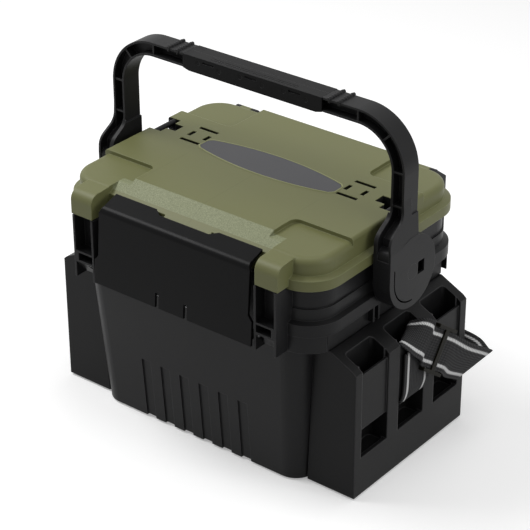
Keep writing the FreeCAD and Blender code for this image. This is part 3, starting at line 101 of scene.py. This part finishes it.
# How finely the webbing is cut, along each span between stations and across it
STATION_STEPS = 6
GRID_ACROSS = 12
SMOOTH_ANGLE = math.radians(50)

# Colours of the lid and the webbing
OLIVE = (0.125, 0.13, 0.05, 1)
OLIVE_PALE = (0.15, 0.155, 0.064, 1)
# Painted highlight along the lid's rounded edges
OLIVE_EDGE_HIGHLIGHT = (0.27, 0.285, 0.14, 1)
SAND_DARK = (0.135, 0.148, 0.07, 1)
SAND_PALE = (0.265, 0.285, 0.17, 1)
# Painted highlight on the raised rims above the lid's top face
PLATE_RIM_HIGHLIGHT = (0.26, 0.27, 0.12, 1)
JOINT_LINE = (0.075, 0.08, 0.03, 1)
# Painted shade inside the lid's slots and end notches
CUT_PAINTED_SHADE = (0.006, 0.006, 0.006, 1)
BLACK_GAP = (0.001, 0.001, 0.001, 1)
BLACK_YARN = (0.06, 0.06, 0.062, 1)
WHITE_GAP = (0.42, 0.42, 0.42, 1)
WHITE_YARN = (0.95, 0.95, 0.95, 1)


# Shader nodes, made and joined in one call each
def feed(tree, socket, value):
    if isinstance(value, (int, float, tuple)):
        socket.default_value = value
    else:
        tree.links.new(value, socket)


def add_math(tree, operation, first, second=None, clamp=False):
    node = tree.nodes.new("ShaderNodeMath")
    node.operation = operation
    node.use_clamp = clamp
    feed(tree, node.inputs[0], first)
    if second is not None:
        feed(tree, node.inputs[1], second)
    return node.outputs[0]


def add_ramp(tree, value, low, high, out_low=0.0, out_high=1.0):
    """A value taken from one range to another, and held at its ends."""
    node = tree.nodes.new("ShaderNodeMapRange")
    feed(tree, node.inputs["Value"], value)
    node.inputs["From Min"].default_value = low
    node.inputs["From Max"].default_value = high
    node.inputs["To Min"].default_value = out_low
    node.inputs["To Max"].default_value = out_high
    return node.outputs["Result"]


def add_noise(tree, coordinates, scale, detail, roughness):
    noise = tree.nodes.new("ShaderNodeTexNoise")
    tree.links.new(coordinates, noise.inputs["Vector"])
    feed(tree, noise.inputs["Scale"], scale)
    noise.inputs["Detail"].default_value = detail
    noise.inputs["Roughness"].default_value = roughness
    return noise.outputs["Fac"]


MIX_FACTOR, MIX_FIRST, MIX_SECOND, MIX_RESULT = 0, 6, 7, 2


def add_mix(tree, factor, first, second):
    """A colour between two. A Mix node's colour sockets follow its number and vector ones."""
    mix = tree.nodes.new("ShaderNodeMix")
    mix.data_type = "RGBA"
    feed(tree, mix.inputs[MIX_FACTOR], factor)
    feed(tree, mix.inputs[MIX_FIRST], first)
    feed(tree, mix.inputs[MIX_SECOND], second)
    return mix.outputs[MIX_RESULT]


def object_axes(tree):
    """The three Object coordinates, in metres."""
    split = tree.nodes.new("ShaderNodeSeparateXYZ")
    tree.links.new(tree.nodes.new("ShaderNodeTexCoord").outputs["Object"], split.inputs[0])
    return split.outputs


def between(tree, value, low, high, soft=0.0003):
    """One between two values and nought outside them, with a soft edge."""
    above = add_ramp(tree, value, low - soft, low + soft)
    below = add_ramp(tree, value, high - soft, high + soft, 1.0, 0.0)
    return add_math(tree, "MULTIPLY", above, below)


def all_of(tree, masks):
    whole = masks[0]
    for mask in masks[1:]:
        whole = add_math(tree, "MULTIPLY", whole, mask)
    return whole


# Shader groups that several finishes share
def new_group(name, inputs, outputs):
    group = bpy.data.node_groups.new(name, "ShaderNodeTree")
    for label, value in inputs:
        socket = group.interface.new_socket(label, in_out="INPUT", socket_type="NodeSocketFloat")
        socket.default_value = value
    for label, kind in outputs:
        group.interface.new_socket(label, in_out="OUTPUT", socket_type=kind)
    return group, group.nodes.new("NodeGroupInput"), group.nodes.new("NodeGroupOutput")


def make_moulded_grain():
    """The texture of a mould: fine pits, slow drifts in colour and shine, and scuffs."""
    group, source, target = new_group(
        "moulded grain", [("Grain Scale", 1500.0)],
        [("Height", "NodeSocketFloat"), ("Drift", "NodeSocketFloat"), ("Scuffs", "NodeSocketFloat")])
    coordinates = group.nodes.new("ShaderNodeTexCoord").outputs["Object"]
    fine = add_noise(group, coordinates, source.outputs["Grain Scale"], 2.0, 0.6)
    slow = add_noise(group, coordinates, 9.0, 3.0, 0.55)
    scuffs = add_ramp(group, add_noise(group, coordinates, 60.0, 4.0, 0.7), 0.6, 0.75)
    group.links.new(fine, target.inputs["Height"])
    group.links.new(slow, target.inputs["Drift"])
    group.links.new(scuffs, target.inputs["Scuffs"])
    return group


def make_edge_highlights():
    """Where a moulding's edges are rounded: the round-over's normal, and a mask along it for a painted
    highlight.
    """
    group, source, target = new_group(
        "painted edge highlights", [("Radius", 0.001)], [("Normal", "NodeSocketVector"), ("Edge", "NodeSocketFloat")])
    bevel = group.nodes.new("ShaderNodeBevel")
    bevel.samples = 6
    group.links.new(source.outputs["Radius"], bevel.inputs["Radius"])
    geometry = group.nodes.new("ShaderNodeNewGeometry")
    dot = group.nodes.new("ShaderNodeVectorMath")
    dot.operation = "DOT_PRODUCT"
    group.links.new(bevel.outputs["Normal"], dot.inputs[0])
    group.links.new(geometry.outputs["Normal"], dot.inputs[1])
    away = add_math(group, "SUBTRACT", 1.0, dot.outputs["Value"])
    group.links.new(bevel.outputs["Normal"], target.inputs["Normal"])
    group.links.new(add_math(group, "MULTIPLY", away, 4.0, clamp=True), target.inputs["Edge"])
    return group


moulded_grain = make_moulded_grain()
edge_highlights = make_edge_highlights()


def place_group(tree, group, **values):
    node = tree.nodes.new("ShaderNodeGroup")
    node.node_tree = group
    for name, value in values.items():
        node.inputs[name.replace("_", " ")].default_value = value
    return node.outputs


def new_material(name):
    material = bpy.data.materials.new(name)
    material.use_nodes = True
    return material, material.node_tree, material.node_tree.nodes["Principled BSDF"]


def add_bump(tree, shader, height, strength, distance, normal=None):
    bump = tree.nodes.new("ShaderNodeBump")
    bump.inputs["Strength"].default_value = strength
    bump.inputs["Distance"].default_value = distance
    tree.links.new(height, bump.inputs["Height"])
    if normal is not None:
        tree.links.new(normal, bump.inputs["Normal"])
    tree.links.new(bump.outputs["Normal"], shader.inputs["Normal"])


def drifting(tree, drift, low, high):
    """A value that drifts between two over the surface."""
    return add_ramp(tree, drift, 0.2, 0.8, low, high)


# Moulded plastics: an uneven colour, grain, scuffs, and rounded edges that catch the light, with a painted
# highlight along them too
PIT_DEPTH = 0.0001
ROUGHNESS_SWING = 0.06
SCUFF_ROUGHNESS = 0.08


def moulded_plastic(name, colour, pale, edge, roughness, shine, grain_scale, grain_depth, edge_radius):
    material, tree, shader = new_material(name)
    shader.inputs["Specular IOR Level"].default_value = shine
    texture = place_group(tree, moulded_grain, Grain_Scale=grain_scale)
    edges = place_group(tree, edge_highlights, Radius=edge_radius)
    base = add_mix(tree, texture["Drift"], colour + (1,), pale + (1,))
    # Painted highlight: the edge colour is mixed in along the rounded edges
    edge_highlighted = add_mix(tree, edges["Edge"], base, edge + (1,))
    tree.links.new(edge_highlighted, shader.inputs["Base Color"])
    even = drifting(tree, texture["Drift"], roughness - ROUGHNESS_SWING, roughness + ROUGHNESS_SWING)
    scuffed = add_math(tree, "ADD", even, add_math(tree, "MULTIPLY", texture["Scuffs"], SCUFF_ROUGHNESS))
    tree.links.new(scuffed, shader.inputs["Roughness"])
    add_bump(tree, shader, texture["Height"], grain_depth, PIT_DEPTH, edges["Normal"])
    return material


def facet_mask(tree, axes):
    """The sandy band of the sloped front facet, between the two corner blocks."""
    return all_of(tree, [between(tree, axes[0], -FACET_HALF, FACET_HALF),
                         between(tree, axes[1], SAND_LOW_Y, FACET_TOP_Y),
                         add_ramp(tree, axes[2], LID_TOP - FACET_DEPTH, LID_TOP - FACET_DEPTH + 0.001)])


def cut_shade_mask(tree, axes):
    """The insides of the lid's slots and end notches, below its top face, and fading just outside: where
    their shade is painted.
    """
    away = add_math(tree, "ABSOLUTE", axes[0])
    across = add_math(tree, "ABSOLUTE", add_math(tree, "SUBTRACT", axes[1], SLOT_MIDDLE_Y))
    slots = all_of(tree, [between(tree, away, SLOT_MIDDLE_X - SLOT_ROOM, SLOT_MIDDLE_X + SLOT_ROOM),
                          add_ramp(tree, across, SLOT_ROOM, SLOT_ROOM + CUT_FAR, 1.0, 0.0),
                          between(tree, axes[2], LID_TOP - LID_SKIN + 0.0005, LID_TOP - SLOT_LIP)])
    notch_low = LID_TOP - NOTCH_DEPTH - CUT_FAR
    notch = all_of(tree, [add_ramp(tree, away, NOTCH_INNER_X - CUT_FAR, NOTCH_INNER_X - CUT_NEAR),
                          add_ramp(tree, across, NOTCH_HALF + CUT_NEAR, NOTCH_HALF + CUT_FAR, 1.0, 0.0),
                          between(tree, axes[2], notch_low, LID_TOP - SLOT_LIP)])
    return add_math(tree, "MAXIMUM", slots, notch)


def panel_lines(tree, axes):
    """Faint joint lines on the lid ahead of its plate, at the middle and near each end."""
    away = add_math(tree, "ABSOLUTE", axes[0])
    soft = PANEL_LINE_HALF * 2
    middle = add_ramp(tree, away, PANEL_LINE_HALF - soft, PANEL_LINE_HALF + soft, 1.0, 0.0)
    ends = between(tree, away, PANEL_LINE_X - PANEL_LINE_HALF, PANEL_LINE_X + PANEL_LINE_HALF, soft)
    seen = add_ramp(tree, axes[1], PANEL_LINE_BACK, PANEL_LINE_BACK + 0.002, 1.0, 0.0)
    return add_math(tree, "MULTIPLY", add_math(tree, "MAXIMUM", middle, ends), seen)


def olive_plastic():
    """The lid's plastic: a sandy band, a pale rim round the plate painted as a highlight, faint joint lines
    and painted shade in the cuts.
    """
    material, tree, shader = new_material("olive moulded plastic")
    shader.inputs["Specular IOR Level"].default_value = 0.3
    axes = object_axes(tree)
    texture = place_group(tree, moulded_grain, Grain_Scale=1500.0)
    edges = place_group(tree, edge_highlights, Radius=0.0012)
    facet = facet_mask(tree, axes)
    base = add_mix(tree, texture["Drift"], OLIVE, OLIVE_PALE)
    # Painted highlight: the edge colour is mixed in along the rounded edges
    edge_highlighted = add_mix(tree, edges["Edge"], base, OLIVE_EDGE_HIGHLIGHT)
    specks = add_ramp(tree, place_group(tree, moulded_grain, Grain_Scale=800.0)["Height"], 0.3, 0.7)
    sandy = add_mix(tree, specks, SAND_DARK, SAND_PALE)
    faced = add_mix(tree, facet, edge_highlighted, sandy)
    # Painted highlight: everything above the lid's top face is made paler
    rim_highlight = add_ramp(tree, axes[2], LID_TOP, LID_TOP + 0.0002)
    rimmed = add_mix(tree, rim_highlight, faced, PLATE_RIM_HIGHLIGHT)
    faint = add_math(tree, "MULTIPLY", panel_lines(tree, axes), 0.3)
    lined = add_mix(tree, faint, rimmed, JOINT_LINE)
    # Painted shade: the insides of the slots and end notches are made near black
    cut_shaded = add_mix(tree, cut_shade_mask(tree, axes), lined, CUT_PAINTED_SHADE)
    tree.links.new(cut_shaded, shader.inputs["Base Color"])
    even = drifting(tree, texture["Drift"], 0.42, 0.54)
    tree.links.new(add_math(tree, "ADD", even, add_math(tree, "MULTIPLY", facet, 0.06)),
                   shader.inputs["Roughness"])
    depth = add_math(tree, "ADD", add_math(tree, "MULTIPLY", texture["Height"], 0.5),
                     add_math(tree, "MULTIPLY", specks, facet))
    add_bump(tree, shader, depth, 0.6, PIT_DEPTH, edges["Normal"])
    return material


# The edge colour of each finish below is a painted highlight along its rounded edges
black_plastic = moulded_plastic(
    "black moulded plastic", colour=(0.009, 0.009, 0.0095), pale=(0.014, 0.014, 0.0145),
    edge=(0.06, 0.06, 0.062), roughness=0.4, shine=0.13, grain_scale=1500.0, grain_depth=0.35,
    edge_radius=0.0007)
latch_plastic = moulded_plastic(
    "black satin plastic", colour=(0.004, 0.004, 0.0042), pale=(0.006, 0.006, 0.0063),
    edge=(0.035, 0.035, 0.036), roughness=0.34, shine=0.07, grain_scale=1700.0, grain_depth=0.25,
    edge_radius=0.0007)
rack_plastic = moulded_plastic(
    "black rack plastic", colour=(0.007, 0.007, 0.0073), pale=(0.011, 0.011, 0.0113),
    edge=(0.07, 0.07, 0.072), roughness=0.38, shine=0.1, grain_scale=1500.0, grain_depth=0.35,
    edge_radius=0.0022)
grey_plastic = moulded_plastic(
    "grey plate", colour=(0.052, 0.052, 0.057), pale=(0.064, 0.064, 0.069),
    edge=(0.12, 0.12, 0.125), roughness=0.42, shine=0.25, grain_scale=1100.0, grain_depth=0.6,
    edge_radius=0.0005)
rubber = moulded_plastic(
    "foot rubber", colour=(0.012, 0.012, 0.012), pale=(0.018, 0.018, 0.018),
    edge=(0.03, 0.03, 0.03), roughness=0.8, shine=0.2, grain_scale=900.0, grain_depth=0.5,
    edge_radius=0.001)
buckle_plastic = moulded_plastic(
    "buckle plastic", colour=(0.006, 0.0055, 0.0035), pale=(0.009, 0.0085, 0.0055),
    edge=(0.05, 0.046, 0.03), roughness=0.28, shine=0.14, grain_scale=1500.0, grain_depth=0.2,
    edge_radius=0.0009)


def zinc_steel():
    material, tree, shader = new_material("zinc steel")
    shader.inputs["Metallic"].default_value = 1
    texture = place_group(tree, moulded_grain, Grain_Scale=900.0)
    bright = add_mix(tree, texture["Scuffs"], (0.55, 0.55, 0.56, 1), (0.38, 0.38, 0.38, 1))
    tree.links.new(bright, shader.inputs["Base Color"])
    tree.links.new(drifting(tree, texture["Drift"], 0.25, 0.45), shader.inputs["Roughness"])
    add_bump(tree, shader, texture["Height"], 0.2, PIT_DEPTH / 2)
    return material


def striped_webbing(length):
    """Woven black webbing with two white stripes. U runs along it and V across, both from 0 to 1."""
    material, tree, shader = new_material("striped webbing")
    shader.inputs["Specular IOR Level"].default_value = 0.15
    split = tree.nodes.new("ShaderNodeSeparateXYZ")
    tree.links.new(tree.nodes.new("ShaderNodeUVMap").outputs["UV"], split.inputs[0])
    along = add_math(tree, "MULTIPLY", split.outputs[0], length / YARN_PITCH)
    across = add_math(tree, "MULTIPLY", split.outputs[1], STRAP_WIDTH / YARN_PITCH)
    twill = add_math(tree, "FRACT", add_math(tree, "ADD", along, across))
    ridge = add_math(tree, "SINE", add_math(tree, "MULTIPLY", twill, math.pi))
    yarn = add_math(tree, "SINE", add_math(tree, "MULTIPLY", add_math(tree, "FRACT", across), math.pi))
    height = add_math(tree, "ADD", add_math(tree, "MULTIPLY", yarn, 0.5), 0.5)
    weave = add_math(tree, "MULTIPLY", ridge, height)
    middle = add_math(tree, "ABSOLUTE", add_math(tree, "SUBTRACT", split.outputs[1], 0.5))
    ragged = add_math(tree, "ADD", middle, add_math(tree, "MULTIPLY", ridge, 0.014))
    stripe = between(tree, ragged, STRIPE_INNER, STRIPE_OUTER, 0.006)
    black = add_mix(tree, weave, BLACK_GAP, BLACK_YARN)
    white = add_mix(tree, weave, WHITE_GAP, WHITE_YARN)
    tree.links.new(add_mix(tree, stripe, black, white), shader.inputs["Base Color"])
    tree.links.new(add_ramp(tree, weave, 0.0, 1.0, 0.9, 0.6), shader.inputs["Roughness"])
    add_bump(tree, shader, weave, 0.9, 0.0006)
    return material


# Strap: the same stations as the solid's. Each has the two edges of the webbing.
def strap_stations():
    out, rear = RACK_FACE, RACK_BACK
    outside = [
        ((out + 0.001, -0.017, 0.148), (out + 0.001, 0.030, 0.150)),
        ((out + 0.001, -0.0175, 0.120), (out + 0.0013, 0.0305, 0.121)),
        ((out + 0.0012, -0.019, 0.098), (out + 0.0026, 0.0295, 0.099)),
        ((out + 0.001, -0.0215, 0.090), (out + 0.0019, 0.026, 0.0905)),
    ]
    under_wall = [
        ((out - 0.0005, -0.0233, 0.0853), (out - 0.0002, 0.0243, 0.0853)),
        ((out - 0.0039, -0.0237, 0.0829), (out - 0.0039, 0.0239, 0.0829)),
        ((out - 0.0077, -0.0236, 0.0858), (out - 0.0077, 0.0236, 0.0858)),
        ((out - 0.0086, -0.0236, 0.093), (out - 0.0086, 0.0236, 0.093)),
    ]
    up_the_socket = [
        ((out - 0.0087, -0.0236, 0.125), (out - 0.0094, 0.0236, 0.125)),
        ((out - 0.0085, -0.0234, 0.150), (out - 0.0165, 0.0231, 0.147)),
    ]
    over_the_notch = [
        ((out - 0.0068, -0.023, 0.1586), (out - 0.0188, 0.0206, 0.1586)),
        ((out - 0.0024, -0.0229, 0.1626), (out - 0.0192, 0.0197, 0.1673)),
        ((out + 0.0029, -0.0175, 0.1566), (out - 0.0124, 0.0235, 0.171)),
        ((out + 0.0062, -0.008, 0.1448), (out - 0.0014, 0.0294, 0.175)),
        ((out + 0.0091, 0.0039, 0.133), (out + 0.005, 0.0367, 0.1699)),
    ]
    slider_middle = Vector((out + 0.0099, 0.038, 0.132))
    slider_run = Vector((0.2075, 0.787, -0.58)).normalized()
    edge = Vector((-0.012, 0.595, 0.803)).normalized() * (STRAP_WIDTH / 2)
    through_slider = []
    for run in (-0.020, -0.009, 0.009, 0.020):
        middle = slider_middle + slider_run * run
        through_slider.append((middle - edge, middle + edge))
    to_the_tip = [
        ((out + 0.0112, rear - 0.0593, 0.0891), (out + 0.0188, rear - 0.0112, 0.1146)),
        ((out + 0.0107, rear - 0.0326, 0.0721), (out + 0.0209, rear + 0.031, 0.0859)),
    ]
    back_behind = [
        ((out + 0.0082, rear - 0.0322, 0.0696), (out + 0.0184, rear + 0.0314, 0.083)),
        ((out + 0.0057, rear - 0.0316, 0.0721), (out + 0.0159, rear + 0.031, 0.0859)),
        ((out + 0.005, rear + 0.003, 0.066), (out + 0.006, rear + 0.0235, 0.1017)),
        ((out - 0.010, rear + 0.009, 0.072), (out - 0.013, rear + 0.008, 0.116)),
        ((out - 0.038, rear + 0.0015, 0.078), (out - 0.040, rear + 0.0015, 0.124)),
    ]
    return outside + under_wall + up_the_socket + over_the_notch + through_slider + to_the_tip + back_behind


def smoothed(points, steps):
    """Points along a curve through the given ones, raised by BASE, with each span in equal steps."""
    points = [Vector(point) + Vector((0, 0, BASE)) for point in points]
    places = [0.0]
    for before, after in zip(points, points[1:]):
        places.append(places[-1] + (after - before).length)
    slopes = []
    for index in range(len(points)):
        low, high = max(index - 1, 0), min(index + 1, len(points) - 1)
        slopes.append((points[high] - points[low]) / (places[high] - places[low]))
    curve = []
    for index in range(len(points) - 1):
        span = places[index + 1] - places[index]
        for step in range(steps):
            t = step / steps
            pull = slopes[index] * (span * t * (1 - t) ** 2) - slopes[index + 1] * (span * t * t * (1 - t))
            curve.append(points[index].lerp(points[index + 1], t * t * (3 - 2 * t)) + pull)
    return curve + [points[-1]]


def webbing_ribbon():
    """A grid laid along the strap's stations, with its thickness added. Also gives its length."""
    stations = strap_stations()
    lows = smoothed([low for low, high in stations], STATION_STEPS)
    highs = smoothed([high for low, high in stations], STATION_STEPS)
    middles = [(low + high) / 2 for low, high in zip(lows, highs)]
    places = [0.0]
    for before, after in zip(middles, middles[1:]):
        places.append(places[-1] + (after - before).length)
    rows = len(middles) - 1
    bpy.ops.object.select_all(action="DESELECT")
    bpy.ops.mesh.primitive_grid_add(x_subdivisions=rows, y_subdivisions=GRID_ACROSS, size=1,
                                    calc_uvs=True)
    ribbon = bpy.context.object
    ribbon.name = "webbing_strap"
    mesh = ribbon.data
    station_of = {}
    for vertex in mesh.vertices:
        station_of[vertex.index] = (round((vertex.co.x + 0.5) * rows), vertex.co.y + 0.5)
    for vertex in mesh.vertices:
        row, share = station_of[vertex.index]
        vertex.co = lows[row].lerp(highs[row], share)
    uv = mesh.uv_layers.active.data
    for loop in mesh.loops:
        row, share = station_of[loop.vertex_index]
        uv[loop.index].uv = (places[row] / places[-1], share)
    solidify = ribbon.modifiers.new("thickness", "SOLIDIFY")
    solidify.thickness = STRAP_THICK
    solidify.offset = 0
    bpy.ops.object.modifier_apply(modifier="thickness")
    bpy.ops.object.shade_smooth_by_angle(angle=SMOOTH_ANGLE)
    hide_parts("rod_strap")
    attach(ribbon, "box")
    return ribbon, places[-1]


ribbon, strap_length = webbing_ribbon()
webbing = striped_webbing(strap_length)
ribbon.data.materials.clear()
ribbon.data.materials.append(webbing)

# Each CAD node takes the finish of its material slot, but the latch, grip and racks have their own
FINISHES = {"black_plastic": black_plastic, "green_plastic": olive_plastic(), "grey_plastic": grey_plastic,
            "rubber": rubber, "webbing": webbing, "buckle_plastic": buckle_plastic, "steel": zinc_steel()}
OWN_FINISHES = {"front_latch": latch_plastic, "grip_front": latch_plastic, "grip_rear": latch_plastic,
                "rod_rack_left": rack_plastic, "rod_rack_right": rack_plastic}

for part in frame["record"]["subparts"]:
    carried = nodes[part["node"]]
    finish = OWN_FINISHES.get(part["node"], FINISHES[part["material_slot"]])
    if carried.material_slots:
        for slot in carried.material_slots:
            slot.material = finish
    else:
        carried.data.materials.append(finish)


# Floor, world and lamps
FLOOR_SIZE = 12
FLOOR_DROP = 0.0002
FLOOR_GLOW = 0.3
BOUNCE_LIGHT = 0.3
LAMP_AIM = Vector((0, 0, 0.2))


def seen_directly(tree):
    """One for rays from the camera and for reflections, and nought for the light that bounces."""
    path = tree.nodes.new("ShaderNodeLightPath").outputs
    either = add_math(tree, "MAXIMUM", path["Is Camera Ray"], path["Is Transmission Ray"])
    return add_math(tree, "MAXIMUM", either, path["Is Glossy Ray"])


def make_floor():
    bpy.ops.object.select_all(action="DESELECT")
    bpy.ops.mesh.primitive_plane_add(size=FLOOR_SIZE, location=(0, 0, -FLOOR_DROP))
    floor = bpy.context.object
    floor.name = "floor"
    material, tree, shader = new_material("white floor")
    seen = seen_directly(tree)
    tree.links.new(add_mix(tree, seen, (0.45, 0.45, 0.45, 1), (0.92, 0.92, 0.92, 1)),
                   shader.inputs["Base Color"])
    shader.inputs["Roughness"].default_value = 1
    shader.inputs["Specular IOR Level"].default_value = 0
    shader.inputs["Emission Color"].default_value = (1, 1, 1, 1)
    tree.links.new(add_math(tree, "MULTIPLY", seen, FLOOR_GLOW), shader.inputs["Emission Strength"])
    floor.data.materials.append(material)


def make_world():
    world = bpy.data.worlds.new("studio")
    bpy.context.scene.world = world
    world.use_nodes = True
    tree = world.node_tree
    background = tree.nodes["Background"]
    background.inputs["Color"].default_value = (1, 1, 1, 1)
    strength = add_ramp(tree, seen_directly(tree), 0.0, 1.0, BOUNCE_LIGHT, 1.0)
    tree.links.new(strength, background.inputs["Strength"])


def area_lamp(name, place, size, power):
    data = bpy.data.lights.new(name, "AREA")
    data.shape = "RECTANGLE"
    data.size, data.size_y = size
    data.energy = power
    lamp = bpy.data.objects.new(name, data)
    bpy.context.scene.collection.objects.link(lamp)
    lamp.location = place
    aim = LAMP_AIM - Vector(place)
    lamp.rotation_euler = aim.to_track_quat("-Z", "Y").to_euler()


make_floor()
make_world()
area_lamp("key", (-1.35, -0.55, 1.95), (1.2, 0.8), 30)
area_lamp("top", (0.3, 0.3, 2.2), (1.6, 1.2), 12)
area_lamp("side", (2.2, 0.2, 1.0), (1.0, 1.2), 12)

bpy.context.scene.view_settings.view_transform = "Standard"
